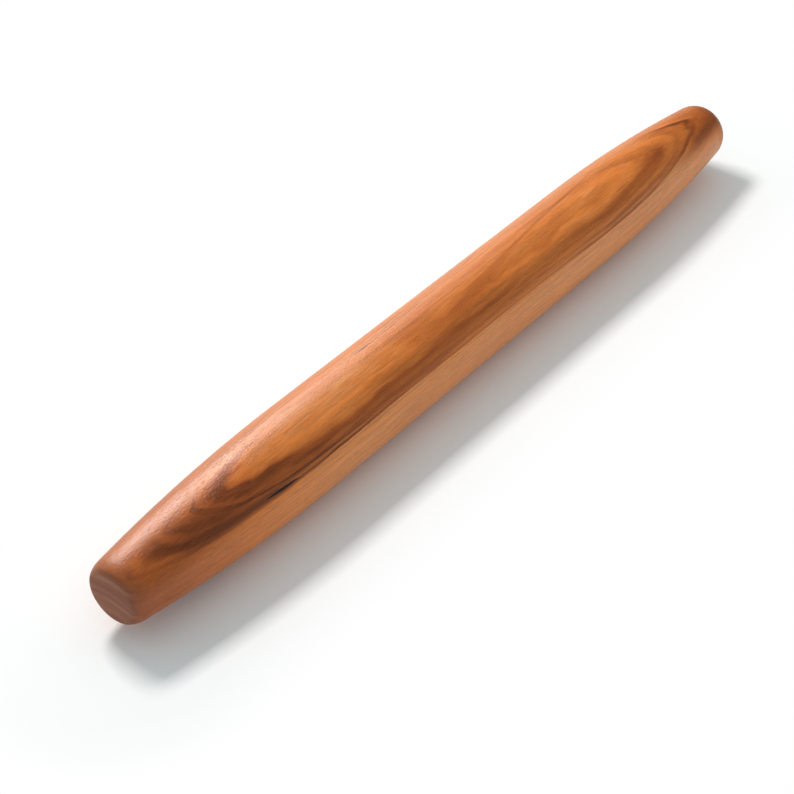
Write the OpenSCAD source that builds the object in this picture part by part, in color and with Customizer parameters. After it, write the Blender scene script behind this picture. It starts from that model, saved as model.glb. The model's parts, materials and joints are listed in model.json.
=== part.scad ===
// French rolling pin: one piece of cherry, turned between centres.
// The pin lies along X with its middle over the origin, and its straight part touches the table at Z = 0.
// Its outline is a straight barrel that runs into a long taper at each end. Each taper is one large arc that
// runs on into two small ones, the shoulder and the nose, which round the edge of the flat end face.
// Every arc starts in the direction in which the last one ends, so the outline has no corner.

/* [Pin] */
// Overall length, end face to end face
pin_l = 510; // [440:5:600]

/* [Barrel] */
// Diameter of the straight part
barrel_d = 50; // [42:1:60]
// Length of the straight part
barrel_l = 240; // [160:5:280]

/* [Taper] */
// Diameter at which the taper would meet the end face if the edge were left sharp
end_d = 32.5; // [26:0.5:40]

/* [Rounded edge] */
// Radius of the shoulder, which leaves the taper
shoulder_r = 14; // [8:0.5:18]
// Radius of the nose, which meets the end face
nose_r = 4; // [2:0.5:6]
// Slope of the surface to the axis where the shoulder becomes the nose, in degrees
nose_slope = 30; // [25:1:45]

/* [Hidden] */

// Facets of a full circle in the outline, of which a taper uses only a few degrees
arc_facets = 1440;
// Facets round the pin
round_facets = 180;
// How far each smaller arc stands proud of the larger one that it leaves, so that the two cross once
proud = 0.001;

barrel_r = barrel_d / 2;
barrel_end = barrel_l / 2;
face_at = pin_l / 2;

// All points are [out from the axis, along the axis] from the middle of the pin.
// The taper's centre is level with the end of the barrel, and its radius is kept to a hundredth.
taper_l = face_at - barrel_end;
taper_drop = barrel_r - end_d / 2;
taper_r = round(100 * (pow(taper_l, 2) + pow(taper_drop, 2)) / (2 * taper_drop)) / 100;
taper_centre = [barrel_r - taper_r, barrel_end];

// The shoulder lies inside the taper and the nose inside the shoulder, each touching it
nose_way = [cos(nose_slope), sin(nose_slope)];
shoulder_along = face_at - nose_r - (shoulder_r - nose_r) * nose_way[1];
shoulder_out = taper_centre[0] + sqrt(pow(taper_r - shoulder_r, 2) - pow(shoulder_along - barrel_end, 2));
shoulder_centre = [shoulder_out + proud, shoulder_along];
nose_centre = shoulder_centre + (shoulder_r - nose_r) * nose_way + [proud, 0];

// Where one arc hands over to the next, along the axis
taper_end = barrel_end + taper_r * (shoulder_along - barrel_end) / (taper_r - shoulder_r);
shoulder_end = nose_centre[1] + nose_r * nose_way[1];

// The stretch of a disc between two places along the axis
module stretch(centre, r, from, to) {
    intersection() {
        translate(centre)
            circle(r = r, $fn = arc_facets);
        translate([0, from])
            square([barrel_r, to - from]);
    }
}

// Half of the outline, from the middle of the pin to one end face
module half_outline() {
    square([barrel_r, barrel_end]);
    stretch(taper_centre, taper_r, 0, taper_end);
    stretch(shoulder_centre, shoulder_r, shoulder_centre[1], shoulder_end);
    stretch(nose_centre, nose_r, nose_centre[1], face_at);
    square([nose_centre[0], face_at]);
}

// The turned pin
module rolling_pin() {
    color("peru")
        translate([0, 0, barrel_r])
            rotate([0, 90, 0])
                rotate_extrude($fn = round_facets) {
                    half_outline();
                    mirror([0, 1])
                        half_outline();
                }
}

rolling_pin();
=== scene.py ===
import json
import math

import bpy
from bpy.props import FloatProperty, FloatVectorProperty, IntProperty, PointerProperty
from mathutils import Matrix, Vector


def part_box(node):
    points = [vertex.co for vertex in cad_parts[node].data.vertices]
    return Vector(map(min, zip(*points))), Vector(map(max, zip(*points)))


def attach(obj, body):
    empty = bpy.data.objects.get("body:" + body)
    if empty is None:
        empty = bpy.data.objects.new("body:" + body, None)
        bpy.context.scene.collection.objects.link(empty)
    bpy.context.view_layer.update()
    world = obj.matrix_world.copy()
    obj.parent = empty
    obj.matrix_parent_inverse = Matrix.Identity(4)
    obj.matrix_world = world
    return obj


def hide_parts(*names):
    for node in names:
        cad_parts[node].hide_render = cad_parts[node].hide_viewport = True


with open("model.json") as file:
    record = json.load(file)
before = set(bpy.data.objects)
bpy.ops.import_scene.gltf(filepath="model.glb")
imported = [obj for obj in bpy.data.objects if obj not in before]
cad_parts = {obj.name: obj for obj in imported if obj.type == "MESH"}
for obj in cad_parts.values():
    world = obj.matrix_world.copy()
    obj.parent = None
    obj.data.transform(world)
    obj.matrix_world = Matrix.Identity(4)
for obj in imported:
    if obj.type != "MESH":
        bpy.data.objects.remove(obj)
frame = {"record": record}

bl_info = {
    "name": "Turned rolling pin",
    "version": (1, 0, 0),
    "blender": (4, 5, 0),
    "location": "3D View > Sidebar > Rolling Pin",
    "description": "Builds a one-piece tapered cherry rolling pin, and a studio to show it in",
    "category": "Add Mesh",
}

PIN = "rolling_pin"
MM = 0.001

# The pin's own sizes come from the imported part: its box, and the mount on its straight middle
LOW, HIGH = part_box(PIN)
BARREL_MOUNT = next(m for m in frame["record"]["mounts"] if m["name"] == "barrel")
PIN_LENGTH = HIGH.x - LOW.x
PIN_DIAMETER = HIGH.z - LOW.z
BARREL_LENGTH = BARREL_MOUNT["dims"]["length_mm"] * MM
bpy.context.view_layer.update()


class PinShape(bpy.types.PropertyGroup):
    """Sizes of the turned pin"""

    length: FloatProperty(
        name="Length", description="End face to end face", default=PIN_LENGTH, min=0.2, unit="LENGTH"
    )
    diameter: FloatProperty(
        name="Diameter",
        description="Across the straight middle",
        default=PIN_DIAMETER,
        min=0.02,
        unit="LENGTH",
    )
    barrel_length: FloatProperty(
        name="Barrel length",
        description="Length of the straight middle",
        default=BARREL_LENGTH,
        unit="LENGTH",
    )
    end_diameter: FloatProperty(
        name="End diameter",
        description="Where the taper would meet the end face if its edge were sharp",
        default=32.5 * MM,
        unit="LENGTH",
    )
    shoulder_radius: FloatProperty(
        name="Shoulder radius", description="Arc that leaves the taper", default=14 * MM, unit="LENGTH"
    )
    nose_radius: FloatProperty(
        name="Nose radius", description="Arc that meets the end face", default=4 * MM, unit="LENGTH"
    )
    nose_slope: FloatProperty(
        name="Nose slope",
        description="Slope to the axis where the shoulder becomes the nose",
        default=math.radians(30),
        unit="ROTATION",
    )
    segments_round: IntProperty(
        name="Segments round", description="Faces round the pin", default=360, min=24
    )
    gum_depth: FloatProperty(
        name="Gum depth", description="How deep the gum streak lies open", default=0.18 * MM, unit="LENGTH"
    )


class WoodFinish(bpy.types.PropertyGroup):
    """Colours and gloss of the oiled cherry"""

    light: FloatVectorProperty(
        name="Pale wood", description="Wood below the dark rings", subtype="COLOR", size=3,
        default=(0.74, 0.262, 0.072),
    )
    middle: FloatVectorProperty(
        name="Heartwood", description="Main colour", subtype="COLOR", size=3, default=(0.66, 0.184, 0.026)
    )
    dark: FloatVectorProperty(
        name="Dark rings", description="Late wood", subtype="COLOR", size=3, default=(0.39, 0.086, 0.008)
    )
    darkest: FloatVectorProperty(
        name="Ring edges", description="Darkest lines", subtype="COLOR", size=3, default=(0.20, 0.042, 0.004)
    )
    gum: FloatVectorProperty(
        name="Gum", description="Gum streak", subtype="COLOR", size=3, default=(0.020, 0.008, 0.004)
    )
    end_grain: FloatVectorProperty(
        name="End grain", description="Sawn end, which drinks the oil", subtype="COLOR", size=3,
        default=(0.205, 0.058, 0.022),
    )
    ring_edge: FloatVectorProperty(
        name="Sawn rings", description="Paler rings in the end grain", subtype="COLOR", size=3,
        default=(0.38, 0.145, 0.078),
    )
    roughness: FloatProperty(
        name="Roughness", description="Rubbed oil on side grain", default=0.40, min=0.0, max=1.0
    )


class Studio(bpy.types.PropertyGroup):
    """Camera and light"""

    elevation: FloatProperty(
        name="Elevation", description="Camera above the table", default=math.radians(39.292), unit="ROTATION"
    )
    heading: FloatProperty(
        name="Heading", description="Camera's heading, from +Y towards +X", default=math.radians(51.933),
        unit="ROTATION",
    )
    distance: FloatProperty(
        name="Distance", description="Camera to the plane of its aim", default=1.04965, unit="LENGTH"
    )
    aim_right: FloatProperty(
        name="Aim right", description="Camera's offset to its right", default=-0.028375, unit="LENGTH"
    )
    aim_up: FloatProperty(
        name="Aim up", description="Camera's offset upwards", default=-0.036169, unit="LENGTH"
    )
    lens: FloatProperty(name="Lens", description="Focal length in millimetres", default=90.0, min=1.0)
    key_power: FloatProperty(name="Key", description="Power of the softbox in watts", default=12.0, min=0.0)
    panel_power: FloatProperty(
        name="Panel",
        description="Power of the panel that gives the highlight, in watts",
        default=24.0,
        min=0.0,
    )
    world_strength: FloatProperty(
        name="Surroundings", description="Brightness of the white surroundings", default=0.60, min=0.0
    )


class Expr:
    """A number socket with the arithmetic of Python: each operator adds its Math node"""

    def __init__(self, tree, socket):
        self.tree = tree
        self.socket = socket

    def math(self, operation, *values, clamp=False):
        node = self.tree.add("ShaderNodeMath", {"operation": operation, "use_clamp": clamp})
        for place, value in zip(node.inputs, (self, *values)):
            self.tree.feed(place, value)
        return Expr(self.tree, node.outputs[0])

    def __add__(self, other):
        return self.math("ADD", other)

    def __radd__(self, other):
        return self.math("ADD", other)

    def __sub__(self, other):
        return self.math("SUBTRACT", other)

    def __rsub__(self, other):
        return self.tree.number(other).math("SUBTRACT", self)

    def __mul__(self, other):
        return self.math("MULTIPLY", other)

    def __truediv__(self, other):
        return self.math("DIVIDE", other)

    def __pow__(self, other):
        return self.math("POWER", other)

    def __neg__(self):
        return self.math("MULTIPLY", -1.0)

    def absolute(self):
        return self.math("ABSOLUTE")

    def sine(self):
        return self.math("SINE")

    def cosine(self):
        return self.math("COSINE")

    def root(self):
        return self.math("SQRT")

    def clamped(self):
        return self.math("ADD", 0.0, clamp=True)

    def bump(self, centre, width):
        """1 at centre, falling to 0.37 one width away, as a bell"""
        return (((self - centre) / width) ** 2 * -1.0).math("EXPONENT")


class Tree:
    """A node tree and the one method that adds a node to it"""

    def __init__(self, tree):
        self.tree = tree

    def feed(self, socket, value):
        if isinstance(value, Expr):
            value = value.socket
        if isinstance(value, bpy.types.NodeSocket):
            self.tree.links.new(value, socket)
        elif value is not None:
            socket.default_value = value

    def add(self, kind, settings=None, inputs=None):
        """A node of a kind, its settings first and then the values or links of its sockets"""
        node = self.tree.nodes.new(kind)
        for name, value in (settings or {}).items():
            if name == "stops":
                set_stops(node.color_ramp, value)
            elif name == "points":
                set_points(node.mapping, value)
            else:
                setattr(node, name, value)
        for name, value in (inputs or {}).items():
            self.feed(node.inputs[name], value)
        return node

    def number(self, value):
        node = self.add("ShaderNodeMath", {"operation": "ADD"})
        self.feed(node.inputs[0], value)
        node.inputs[1].default_value = 0.0
        return Expr(self, node.outputs[0])

    def out(self, node, name=0):
        return Expr(self, node.outputs[name])


def set_stops(ramp, stops):
    """Stops of a ramp as (place, colour) pairs"""
    while len(ramp.elements) < len(stops):
        ramp.elements.new(1.0)
    for element, (place, colour) in zip(ramp.elements, stops):
        element.position = place
        element.color = (*colour, 1.0)


def set_points(mapping, points):
    """Points of a curve as (place, value) pairs"""
    curve = mapping.curves[0]
    while len(curve.points) < len(points):
        curve.points.new(0.5, 0.5)
    for point, (place, value) in zip(curve.points, points):
        point.location = (place, value)
    mapping.update()


# The turned pin: stations from the middle of the pin to the centre of an end face, by stretch of the outline
STATIONS = {"barrel": 12, "taper": 90, "shoulder": 10, "nose": 12, "face": 4}
# The sizes that set the outline, each an input of the turning tree
OUTLINE_SIZES = (
    "Length", "Diameter", "Barrel length", "End diameter", "Shoulder radius", "Nose radius", "Nose slope",
)
# Points of the seam and the poles that fall within this distance are one, in metres
MERGE_DISTANCE = 0.00001

# Marks on the surface: (x, angle) of both ends, in millimetres and degrees, and half the width in millimetres
GUM = ((-172.0, 149.8), (-148.0, 152.8), 0.85)
SCAR = ((-73.0, 75.3), (-60.0, 76.0), 0.6)
SCAR_TAIL = ((-66.0, 76.2), (-12.0, 72.5), 0.5)
# Reddish lines in the figure of the top, each with its strength
RED_LINES = [
    (((-22, 116), (66, 91), 3.2), 0.42),
    (((-6, 104), (70, 90), 1.2), 0.35),
    (((46, 93), (146, 74), 1.5), 0.50),
    (((134, 79), (182, 109), 1.4), 0.40),
    (((-54, 90), (-22, 97), 0.9), 0.45),
    (((20, 68), (48, 50), 0.9), 0.45),
    (((103, 134), (124, 140), 1.2), 0.50),
    (((-80, 127), (-50, 131), 1.6), 0.40),
]
# Small open rings in the figure: x, angle, half length, half width in degrees, and the share that is closed
CURL = (27.5, 111.5, 7.0, 7.5, 0.35)
PECK = (-41.5, 112.8, 2.4, 2.6, 0.7)
RING_STRENGTH = 0.45
GUM_STRENGTH = 0.95
SCAR_STRENGTH = 0.80
SCAR_TAIL_STRENGTH = 0.42
# Nearer the axis than this, in millimetres, no mark is drawn
LEAST_MARK_RADIUS = 5.0


def streak(x, angle, radius, mark):
    """1 along the middle of a pointed streak on the pin's surface and 0 outside it"""
    (x0, angle0), (x1, angle1), half_width = mark
    share = (x - x0) / (x1 - x0)
    arc = angle - angle0 - share * (angle1 - angle0)
    arc = arc * radius.math("MAXIMUM", LEAST_MARK_RADIUS) * math.radians(1)
    reach = (1 - (share * 2 - 1) ** 2).clamped() * half_width + 0.001
    return (1 - (arc / reach) ** 2).clamped()


def outline_stretches(tree, size):
    """The half outline as stretches: stations, start angle, sweep, radius and straight run of each"""
    half = size["Length"] / 2
    radius = size["Diameter"] / 2
    barrel = size["Barrel length"] / 2
    run = half - barrel
    drop = radius - size["End diameter"] / 2
    taper_r = (run ** 2 + drop ** 2) / (drop * 2)
    shoulder_r = size["Shoulder radius"]
    nose_r = size["Nose radius"]
    slope = size["Nose slope"]
    reach = half - nose_r - (shoulder_r - nose_r) * slope.sine() - barrel
    start = (reach / (taper_r - shoulder_r)).math("ARCSINE")
    zero = tree.number(0.0)
    quarter = tree.number(math.pi / 2)
    face_r = (
        radius
        - taper_r * (1 - start.cosine())
        - shoulder_r * (start.cosine() - slope.cosine())
        - nose_r * slope.cosine()
    )
    return [
        (STATIONS["barrel"], zero, zero, zero, barrel, zero),
        (STATIONS["taper"], zero, start, taper_r, zero, zero),
        (STATIONS["shoulder"], start, slope - start, shoulder_r, zero, zero),
        (STATIONS["nose"], slope, quarter - slope, nose_r, zero, zero),
        (STATIONS["face"], zero, zero, zero, zero, -face_r),
    ]


def turning_tree():
    """Geometry nodes that turn the pin: a sheet of stations and angles is wrapped round the axis"""
    group = bpy.data.node_groups.new("turned_pin", "GeometryNodeTree")
    tree = Tree(group)
    sockets = group.interface
    sockets.new_socket("Geometry", in_out="OUTPUT", socket_type="NodeSocketGeometry")
    for name in (*OUTLINE_SIZES, "Gum depth"):
        sockets.new_socket(name, in_out="INPUT", socket_type="NodeSocketFloat")
    sockets.new_socket("Segments round", in_out="INPUT", socket_type="NodeSocketInt")
    sockets.new_socket("Material", in_out="INPUT", socket_type="NodeSocketMaterial")
    given = tree.add("NodeGroupInput")
    size = {name: tree.out(given, name) for name in OUTLINE_SIZES}

    steps = sum(STATIONS.values())
    around = tree.out(given, "Segments round")
    sheet = tree.add(
        "GeometryNodeMeshGrid",
        inputs={"Size X": 2.0 * steps, "Size Y": 1.0, "Vertices X": 2 * steps + 1, "Vertices Y": around + 1},
    )
    place = tree.add("ShaderNodeSeparateXYZ", inputs={0: tree.add("GeometryNodeInputPosition").outputs[0]})
    station = tree.out(place, "X")
    angle = math.pi / 2 - tree.out(place, "Y") * (2 * math.pi)
    side = station.math("SIGN")
    count = station.absolute()

    along = tree.number(0.0)
    out = size["Diameter"] / 2
    first = 0
    for stations, start, sweep, radius, run, step_out in outline_stretches(tree, size):
        share = ((count - first) / stations).clamped()
        turn = start + share * sweep
        along = along + radius * (turn.sine() - start.sine()) + run * share
        out = out + radius * (turn.cosine() - start.cosine()) + step_out * share
        first += stations
    along = along * side

    # the gum streak lies open, as a shallow groove with pointed ends
    degrees = angle.math("FLOORED_MODULO", 2 * math.pi) * math.degrees(1)
    out = out - streak(along / MM, degrees, out / MM, GUM) * tree.out(given, "Gum depth")

    axis = size["Diameter"] / 2
    point = tree.add(
        "ShaderNodeCombineXYZ", inputs={"X": along, "Y": out * angle.cosine(), "Z": out * angle.sine() + axis}
    )
    wrapped = tree.add(
        "GeometryNodeSetPosition", inputs={"Geometry": sheet.outputs["Mesh"], "Position": point.outputs[0]}
    )
    closed = tree.add(
        "GeometryNodeMergeByDistance", inputs={"Geometry": wrapped.outputs[0], "Distance": MERGE_DISTANCE}
    )
    smooth = tree.add("GeometryNodeSetShadeSmooth", inputs={"Geometry": closed.outputs[0]})
    whole = tree.add("GeometryNodeRealizeInstances", inputs={"Geometry": smooth.outputs[0]})
    done = tree.add(
        "GeometryNodeSetMaterial",
        inputs={"Geometry": whole.outputs[0], "Material": given.outputs["Material"]},
    )
    tree.add("NodeGroupOutput", inputs={"Geometry": done.outputs[0]})
    return group


# The growth rings are nearly flat sheets through the pin, bowed a little, that face up and a little forward
RING_FACING = math.radians(108)
RING_BOW = 0.0037
HALF_MM = PIN_LENGTH / MM / 2
AXIS_MM = PIN_DIAMETER / MM / 2

# Height across the rings, in millimetres from the axis, at places along the pin: of the sharp edge where
# pale wood below meets dark wood above, and of the second dark ring, whose loop closes on the near taper
EDGE = [
    (-255, 15.6), (-240, 16.8), (-200, 16.6), (-160, 17.4), (-120, 18.3), (0, 18.3), (60, 18.1),
    (120, 17.4), (160, 17.7), (200, 18.5), (215, 19.0), (237, 18.4), (255, 17.6),
]
LOOP = [(-255, 23.0), (-204, 21.6), (-165, 20.4), (-120, 20.1), (-60, 19.6), (0, 18.9), (255, 18.9)]
HEIGHTS = (12.0, 26.0)

# Tone of the dark wood, 0 pale to 1 dark, by millimetres above that sharp edge, and of the pale wood below it
TONES = [
    (-4, 0.76), (0.45, 0.82), (1.2, 0.60), (2.2, 0.78), (3.1, 0.62), (4.0, 0.70), (5.0, 0.58), (5.7, 0.60),
    (6.8, 0.41), (10, 0.36),
]
TONE_SPAN = (-4.0, 10.0)
PALE_TONE = 0.08
BACK_TONE = 0.31

# Stretches along the pin, by x in millimetres, from where a change of tone starts to where it is full
NEAR_EDGE_SOFTENS = (-125, -190)
NEAR_BACK_BROWNS = (-150, -240)
NEAR_FRONT_BROWNS = (-110, -200)
NEAR_PALE_BROWNS = (-180, -235)
NEAR_LOOP_SHOWS = (-20, -140)
FAR_LOOP_CLOSES = (180, 215)
FAR_TOP_DARKENS = (30, 90)
FAR_SHOULDER_DARKENS = (100, 165)
FAR_BACK_DARKENS = (185, 235)
FAR_PALE_DARKENS = (195, 230)
FAR_EDGE_DARKENS = (190, 222)
GUM_FADES = (-142, -165)
# The same for the browned rim and the sawn face, by distance from the middle
RIM_BROWNS = (244, 262)
FACE_STARTS = (250.5, 254.5)
# Pale rings on the sawn face: height in millimetres from the axis, half width and strength
PALE_ARCS = [(-7.5, 2.2, 1.0), (-1.8, 1.9, 1.0), (2.6, 1.2, 0.7), (10.5, 1.6, 1.0)]

# Relief of the side grain: how strongly it tilts the light, and its depth in metres
RELIEF_STRENGTH = 0.40
RELIEF_DEPTH = 0.0004


def cherry_material(finish):
    """Oiled cherry: one solid pattern of rings and fibres, cut by the turned surface"""
    material = bpy.data.materials.new("oiled_cherry")
    material.use_nodes = True
    material.node_tree.nodes.clear()
    tree = Tree(material.node_tree)
    xyz = tree.add("ShaderNodeSeparateXYZ", inputs={0: tree.add("ShaderNodeTexCoord").outputs["Object"]})
    x = tree.out(xyz, "X") / MM
    y = tree.out(xyz, "Y") / MM
    z = tree.out(xyz, "Z") / MM - AXIS_MM
    angle = z.math("ARCTAN2", y) * math.degrees(1)
    radius = (y ** 2 + z ** 2).root()

    def noise(along, second, third, detail, seed, roughness=0.5):
        """Noise from -0.5 to 0.5 over three lengths, each already scaled to its features"""
        vector = tree.add("ShaderNodeCombineXYZ", inputs={"X": along + seed, "Y": second, "Z": third})
        node = tree.add(
            "ShaderNodeTexNoise",
            inputs={"Vector": vector.outputs[0], "Scale": 1.0, "Detail": detail, "Roughness": roughness},
        )
        return tree.out(node, "Fac") - 0.5

    def curve(value, points, span, heights):
        """A curve through listed points, in their own units"""
        low, high = span
        floor, top = heights
        node = tree.add(
            "ShaderNodeFloatCurve",
            {"points": [((a - low) / (high - low), (b - floor) / (top - floor)) for a, b in points]},
            {"Value": (value - low) / (high - low)},
        )
        return tree.out(node) * (top - floor) + floor

    def step(value, low, high):
        """0 below low, 1 above high, straight between; low above high turns it round"""
        return ((value - low) / (high - low)).clamped()

    height = y * math.cos(RING_FACING) + z * math.sin(RING_FACING)
    across = z * math.cos(RING_FACING) - y * math.sin(RING_FACING)
    level = height + across ** 2 * RING_BOW
    slow = noise(x * 0.010, y * 0.04, z * 0.04, 2.0, 3.7)
    wavy = noise(x * 0.035, y * 0.15, z * 0.15, 2.0, 11.3)
    fine = noise(x * 0.09, y * 0.6, z * 0.6, 1.0, 23.1)
    warped = level + slow * 0.9 + wavy * 0.55 + fine * 0.3
    above = warped - curve(x, EDGE, (-HALF_MM, HALF_MM), HEIGHTS)
    ramp = tree.add(
        "ShaderNodeValToRGB",
        {"stops": [((a - TONE_SPAN[0]) / (TONE_SPAN[1] - TONE_SPAN[0]), (t, t, t)) for a, t in TONES]},
        {"Fac": (above - TONE_SPAN[0]) / (TONE_SPAN[1] - TONE_SPAN[0])},
    )
    tone = Expr(tree, ramp.outputs["Color"])

    # below the edge the wood is pale; the edge is softer on the near taper
    soft = step(x, *NEAR_EDGE_SOFTENS) * 1.5
    inside = ((above + 0.2 + soft * 0.3) / (soft + 0.4)).clamped()
    tone = tone - soft * above.bump(0.6, 0.5) * 0.12
    tone = PALE_TONE + inside * (tone - PALE_TONE)
    # the back is of an even middle tone, but for the loop that closes at the far end
    behind = step(across, 3.0, -10.0)
    back = behind * (1 - inside * step(x, *FAR_LOOP_CLOSES))
    tone = tone + back * (BACK_TONE + step(x, *NEAR_BACK_BROWNS) * 0.32 - tone)
    # darker patches on the top of the middle and towards the far end
    top = step(above, 3.0, 5.0) * step(across, -4.0, 3.0)
    tone = tone + top * (x.bump(8.0, 38.0) * 0.26 + step(x, *FAR_TOP_DARKENS) * 0.12)
    tone = tone + step(above, 1.0, 5.0) * step(across, -19.0, -8.0) * step(x, *FAR_SHOULDER_DARKENS) * 0.08
    tone = tone + step(above, 3.0, 4.5) * across.bump(-6.0, 7.0) * x.bump(80, 50) * 0.16
    tone = tone - above.bump(1.8, 3.0) * x.bump(160, 45) * 0.16
    # the front browns towards the near end, and just below the edge at the far end
    front = 1 - behind
    near_pale = (1 - inside) * step(x, *NEAR_PALE_BROWNS)
    tone = tone + front * (step(x, *NEAR_FRONT_BROWNS) * 0.40 + near_pale * 0.28)
    tone = tone + behind * (x.bump(-170, 70) * 0.10 + step(x, *FAR_BACK_DARKENS) * 0.12)
    tone = tone + (1 - inside) * step(x, *FAR_PALE_DARKENS) * 0.12
    tone = tone + step(x, *FAR_EDGE_DARKENS) * above.bump(-1.4, 2.8) * (1 - inside) * front * 0.66
    # the second ring
    second = warped + wavy * 0.4 - curve(x, LOOP, (-HALF_MM, HALF_MM), HEIGHTS)
    tone = tone + second.bump(0.0, 0.22) * step(x, *NEAR_LOOP_SHOWS) * (front * 0.22 + 0.16)

    # rings: broad bands that swirl where the surface runs along them, and fine lines
    broad = noise(warped * 0.55 + wavy * 1.5, x * 0.006, across * 0.03, 1.0, 31.0)
    lines = noise(warped * 2.1, x * 0.004, across * 0.04, 3.0, 41.0, 0.65)
    fibre = noise(x * 0.022, y * 1.0, z * 1.0, 3.0, 5.1, 0.62)
    hairs = noise(x * 0.07, y * 1.9, z * 1.9, 2.0, 8.9, 0.7)
    fleck = noise(x * 0.75, y * 1.3, z * 1.3, 2.0, 51.0, 0.7)
    pores = step(noise(x * 0.33, y * 1.5, z * 1.5, 1.0, 61.0), 0.13, 0.22)
    cloud = noise(x * 0.018, y * 0.09, z * 0.09, 2.0, 17.0)
    tone = (tone + broad * (inside * 0.95 + 0.20) + lines * 0.45 + fibre * 0.30 + cloud * 0.30).clamped()
    shade = 1 + lines * 1.10 + fibre * 0.60 + hairs * 0.75 + fleck * 0.25 - pores * 0.13

    colours = tree.add(
        "ShaderNodeValToRGB",
        {
            "stops": [
                (0.0, tuple(finish.light)),
                (0.42, tuple(finish.middle)),
                (0.80, tuple(finish.dark)),
                (1.0, tuple(finish.darkest)),
            ]
        },
        {"Fac": tone},
    )
    shaded = tree.add("ShaderNodeMix", {"data_type": "RGBA", "blend_type": "MULTIPLY"}, {"Factor": 1.0})
    tree.feed(shaded.inputs[6], colours.outputs["Color"])
    tree.feed(shaded.inputs[7], shade)
    colour = shaded.outputs[2]

    def over(colour, top, factor):
        """A colour laid over another where the factor is 1"""
        mix = tree.add("ShaderNodeMix", {"data_type": "RGBA"}, {"Factor": factor})
        tree.feed(mix.inputs[6], colour)
        mix.inputs[7].default_value = (*top, 1.0)
        return mix.outputs[2]

    for line, strength in RED_LINES:
        colour = over(colour, finish.dark, streak(x, angle, radius, line) * strength)
    for ring_x, ring_angle, length, width, closed in (CURL, PECK):
        along = (x - ring_x) / length
        sideways = (angle - ring_angle) / width
        ring = (along ** 2 + sideways ** 2).root().bump(0.85, 0.28)
        colour = over(colour, finish.dark, ring * (closed - along * (1 - closed)).clamped() * RING_STRENGTH)

    # the rounded edge and the sawn face drink the oil and go a greyer brown, with the rings on edge
    far_out = x.absolute()
    sawn = step(far_out, *FACE_STARTS)
    end = step(far_out, *RIM_BROWNS).math("MAXIMUM", sawn)
    bent = z + y ** 2 * 0.014 + wavy * 1.5
    arcs = noise(bent * 1.35, y * 0.05, x * 0.1, 3.0, 71.0, 0.7)
    pale = sum(bent.bump(height, width) * strength for height, width, strength in PALE_ARCS)
    colour = over(colour, finish.end_grain, (end * 0.92).clamped())
    colour = over(colour, finish.ring_edge, sawn * (arcs * 3.0 + pale * 0.8 + y * 0.015).clamped() * 0.62)
    gum = (streak(x, angle, radius, GUM) * 4 * (1 + fibre * 1.6) * step(x, *GUM_FADES)).clamped()
    colour = over(colour, finish.gum, gum * GUM_STRENGTH)
    colour = over(colour, finish.gum, (streak(x, angle, radius, SCAR) * 2).clamped() * SCAR_STRENGTH)
    tail = (streak(x, angle, radius, SCAR_TAIL) * 2).clamped()
    colour = over(colour, finish.gum, tail * SCAR_TAIL_STRENGTH)

    relief = fibre * 0.5 + hairs * 0.6 + fleck * 0.9 - pores * 0.4
    bump = tree.add(
        "ShaderNodeBump", inputs={"Strength": RELIEF_STRENGTH, "Distance": RELIEF_DEPTH, "Height": relief}
    )
    roughness = end * 0.25 + fibre * 0.2 + hairs * 0.2 + pores * 0.1 + finish.roughness
    shader = tree.add(
        "ShaderNodeBsdfPrincipled",
        inputs={
            "Base Color": colour,
            "Roughness": roughness.clamped(),
            "Normal": bump.outputs["Normal"],
        },
    )
    tree.add("ShaderNodeOutputMaterial", inputs={"Surface": shader.outputs[0]})
    return material


class RollingPinMake(bpy.types.Operator):
    """Turn the pin and give it its oiled cherry finish"""

    bl_idname = "rolling_pin.make"
    bl_label = "Turn the pin"

    def execute(self, context):
        shape = context.scene.pin_shape
        material = cherry_material(context.scene.wood_finish)
        blank = bpy.data.objects.new("turned_pin_blank", bpy.data.meshes.new("turned_pin_blank"))
        context.scene.collection.objects.link(blank)
        modifier = blank.modifiers.new("Turning", "NODES")
        modifier.node_group = turning_tree()
        values = {
            "Length": shape.length,
            "Diameter": shape.diameter,
            "Barrel length": shape.barrel_length,
            "End diameter": shape.end_diameter,
            "Shoulder radius": shape.shoulder_radius,
            "Nose radius": shape.nose_radius,
            "Nose slope": shape.nose_slope,
            "Gum depth": shape.gum_depth,
            "Segments round": shape.segments_round,
            "Material": material,
        }
        for item in modifier.node_group.interface.items_tree:
            if item.in_out == "INPUT":
                modifier[item.identifier] = values[item.name]
        context.view_layer.update()
        graph = context.evaluated_depsgraph_get()
        mesh = bpy.data.meshes.new_from_object(blank.evaluated_get(graph))
        if len(mesh.polygons) == 0:
            raise RuntimeError("the turning tree gave no surface")
        bpy.data.objects.remove(blank)
        mesh.name = "turned_pin"
        pin = bpy.data.objects.new("turned_pin", mesh)
        context.scene.collection.objects.link(pin)
        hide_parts(PIN)
        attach(pin, "root")
        return {"FINISHED"}


# The studio, in metres: a wide floor, and surroundings that are dimmer in reflections than on matt wood
FLOOR_HALF = 6.0
GLOSSY_SHARE = 0.12
SKY_TINT = (0.90, 0.99, 1.0)
# The softbox gives the light and the shadow, and the panel is only seen as the long highlight
KEY_TINT = (1.0, 0.965, 0.94)
SOFTBOX_PLACE = Vector((0.07, 0.74, 1.06))
SOFTBOX_SIZE = (0.40, 0.25)
PANEL_PLACE = Vector((0.43, 1.22, 0.89))
PANEL_SIZE = (0.70, 0.45)
# The paper goes over to plain white between these two distances from the pin's middle line
PAPER_FADE = (0.054, 0.085)
PAPER_ALBEDO = 0.92
# The camera's film, in millimetres, and the reach of its view, in metres
SENSOR_WIDTH = 36.0
VIEW_REACH = 50.0


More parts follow.
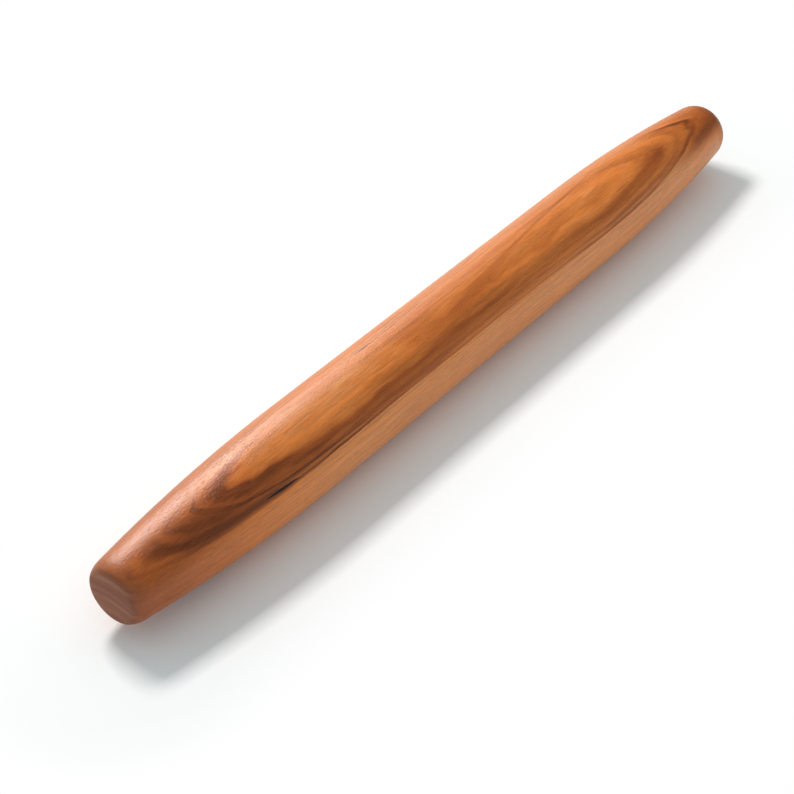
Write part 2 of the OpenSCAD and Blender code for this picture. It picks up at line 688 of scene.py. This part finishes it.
def floor_material():
    """White paper that holds the pin's shadow and fades to plain white away from the pin"""
    material = bpy.data.materials.new("white_paper")
    material.use_nodes = True
    material.node_tree.nodes.clear()
    tree = Tree(material.node_tree)
    xyz = tree.add("ShaderNodeSeparateXYZ", inputs={0: tree.add("ShaderNodeTexCoord").outputs["Object"]})
    past_end = (tree.out(xyz, "X").absolute() - PIN_LENGTH / 2).math("MAXIMUM", 0.0)
    away = (past_end ** 2 + tree.out(xyz, "Y") ** 2).root()
    plain = ((away - PAPER_FADE[0]) / (PAPER_FADE[1] - PAPER_FADE[0])).clamped()
    path = tree.add("ShaderNodeLightPath")
    seen = tree.out(path, "Is Camera Ray").math("MAXIMUM", tree.out(path, "Is Glossy Ray"))
    seen = seen.math("MAXIMUM", tree.out(path, "Is Transmission Ray"))
    matt = tree.add("ShaderNodeBsdfDiffuse", inputs={"Color": (PAPER_ALBEDO,) * 3 + (1.0,)})
    white = tree.add("ShaderNodeEmission", inputs={"Color": (1, 1, 1, 1), "Strength": 1.0})
    both = tree.add("ShaderNodeMixShader", inputs={0: plain * seen, 1: matt.outputs[0], 2: white.outputs[0]})
    tree.add("ShaderNodeOutputMaterial", inputs={"Surface": both.outputs[0]})
    return material


def light_the_world(scene, strength):
    """Pale surroundings: plain white to the camera, dim in reflections"""
    world = bpy.data.worlds.new("white_room")
    world.use_nodes = True
    world.node_tree.nodes.clear()
    tree = Tree(world.node_tree)
    path = tree.add("ShaderNodeLightPath")
    camera = tree.out(path, "Is Camera Ray")
    glossy = tree.out(path, "Is Glossy Ray")
    level = glossy * (GLOSSY_SHARE * strength - strength) + strength
    level = level + camera * (1 - level)
    tint = tree.add("ShaderNodeMix", {"data_type": "RGBA"}, {"Factor": camera})
    tint.inputs[6].default_value = (*SKY_TINT, 1.0)
    tint.inputs[7].default_value = (1.0, 1.0, 1.0, 1.0)
    room = tree.add("ShaderNodeBackground", inputs={"Color": tint.outputs[2], "Strength": level})
    tree.add("ShaderNodeOutputWorld", inputs={"Surface": room.outputs[0]})
    scene.world = world


def hang(scene, name, place, size, power, aim):
    """A soft rectangular light, facing its aim"""
    light = bpy.data.lights.new(name, "AREA")
    light.shape = "RECTANGLE"
    light.size, light.size_y = size
    light.energy = power
    lamp = bpy.data.objects.new(name, light)
    lamp.location = place
    lamp.rotation_euler = (place - aim).to_track_quat("Z", "Y").to_euler()
    scene.collection.objects.link(lamp)
    return lamp


class StudioMake(bpy.types.Operator):
    """Lay the white floor, hang the two lights and set up the camera"""

    bl_idname = "rolling_pin.studio"
    bl_label = "Set up the studio"

    def execute(self, context):
        scene = context.scene
        studio = scene.pin_studio
        middle = Vector((0, 0, PIN_DIAMETER / 2))

        mesh = bpy.data.meshes.new("floor")
        corners = [(-1, -1), (1, -1), (1, 1), (-1, 1)]
        mesh.from_pydata([(a * FLOOR_HALF, b * FLOOR_HALF, 0) for a, b in corners], [], [(0, 1, 2, 3)])
        mesh.materials.append(floor_material())
        floor = bpy.data.objects.new("floor", mesh)
        scene.collection.objects.link(floor)

        light_the_world(scene, studio.world_strength)
        softbox = hang(scene, "softbox", SOFTBOX_PLACE, SOFTBOX_SIZE, studio.key_power, middle)
        softbox.visible_glossy = False
        softbox.data.color = KEY_TINT
        panel = hang(scene, "panel", PANEL_PLACE, PANEL_SIZE, studio.panel_power, middle)
        panel.visible_diffuse = False

        heading = studio.heading
        level = math.cos(studio.elevation)
        right = Vector((math.cos(heading), -math.sin(heading), 0))
        ahead = Vector((math.sin(heading) * level, math.cos(heading) * level, -math.sin(studio.elevation)))
        up = right.cross(ahead)
        camera = bpy.data.objects.new("camera", bpy.data.cameras.new("camera"))
        camera.data.lens = studio.lens
        camera.data.sensor_width = SENSOR_WIDTH
        camera.data.clip_end = VIEW_REACH
        spot = middle - ahead * studio.distance + right * studio.aim_right + up * studio.aim_up
        turn = Matrix((right, up, -ahead)).transposed()
        camera.matrix_world = Matrix.Translation(spot) @ turn.to_4x4()
        scene.collection.objects.link(camera)
        scene.camera = camera
        scene.view_settings.view_transform = "Standard"
        return {"FINISHED"}


class RollingPinPanel(bpy.types.Panel):
    """Sizes, finish and studio of the pin"""

    bl_idname = "VIEW3D_PT_rolling_pin"
    bl_label = "Rolling Pin"
    bl_space_type = "VIEW_3D"
    bl_region_type = "UI"
    bl_category = "Rolling Pin"

    def draw(self, context):
        layout = self.layout
        for group in (context.scene.pin_shape, context.scene.wood_finish, context.scene.pin_studio):
            box = layout.box()
            for name in group.__annotations__:
                box.prop(group, name)
        layout.operator(RollingPinMake.bl_idname)
        layout.operator(StudioMake.bl_idname)


CLASSES = (PinShape, WoodFinish, Studio, RollingPinMake, StudioMake, RollingPinPanel)


def register():
    for item in CLASSES:
        bpy.utils.register_class(item)
    bpy.types.Scene.pin_shape = PointerProperty(type=PinShape)
    bpy.types.Scene.wood_finish = PointerProperty(type=WoodFinish)
    bpy.types.Scene.pin_studio = PointerProperty(type=Studio)


def unregister():
    del bpy.types.Scene.pin_studio
    del bpy.types.Scene.wood_finish
    del bpy.types.Scene.pin_shape
    for item in reversed(CLASSES):
        bpy.utils.unregister_class(item)


def main():
    register()
    bpy.ops.rolling_pin.make()
    bpy.ops.rolling_pin.studio()


if __name__ == "__main__":
    main()
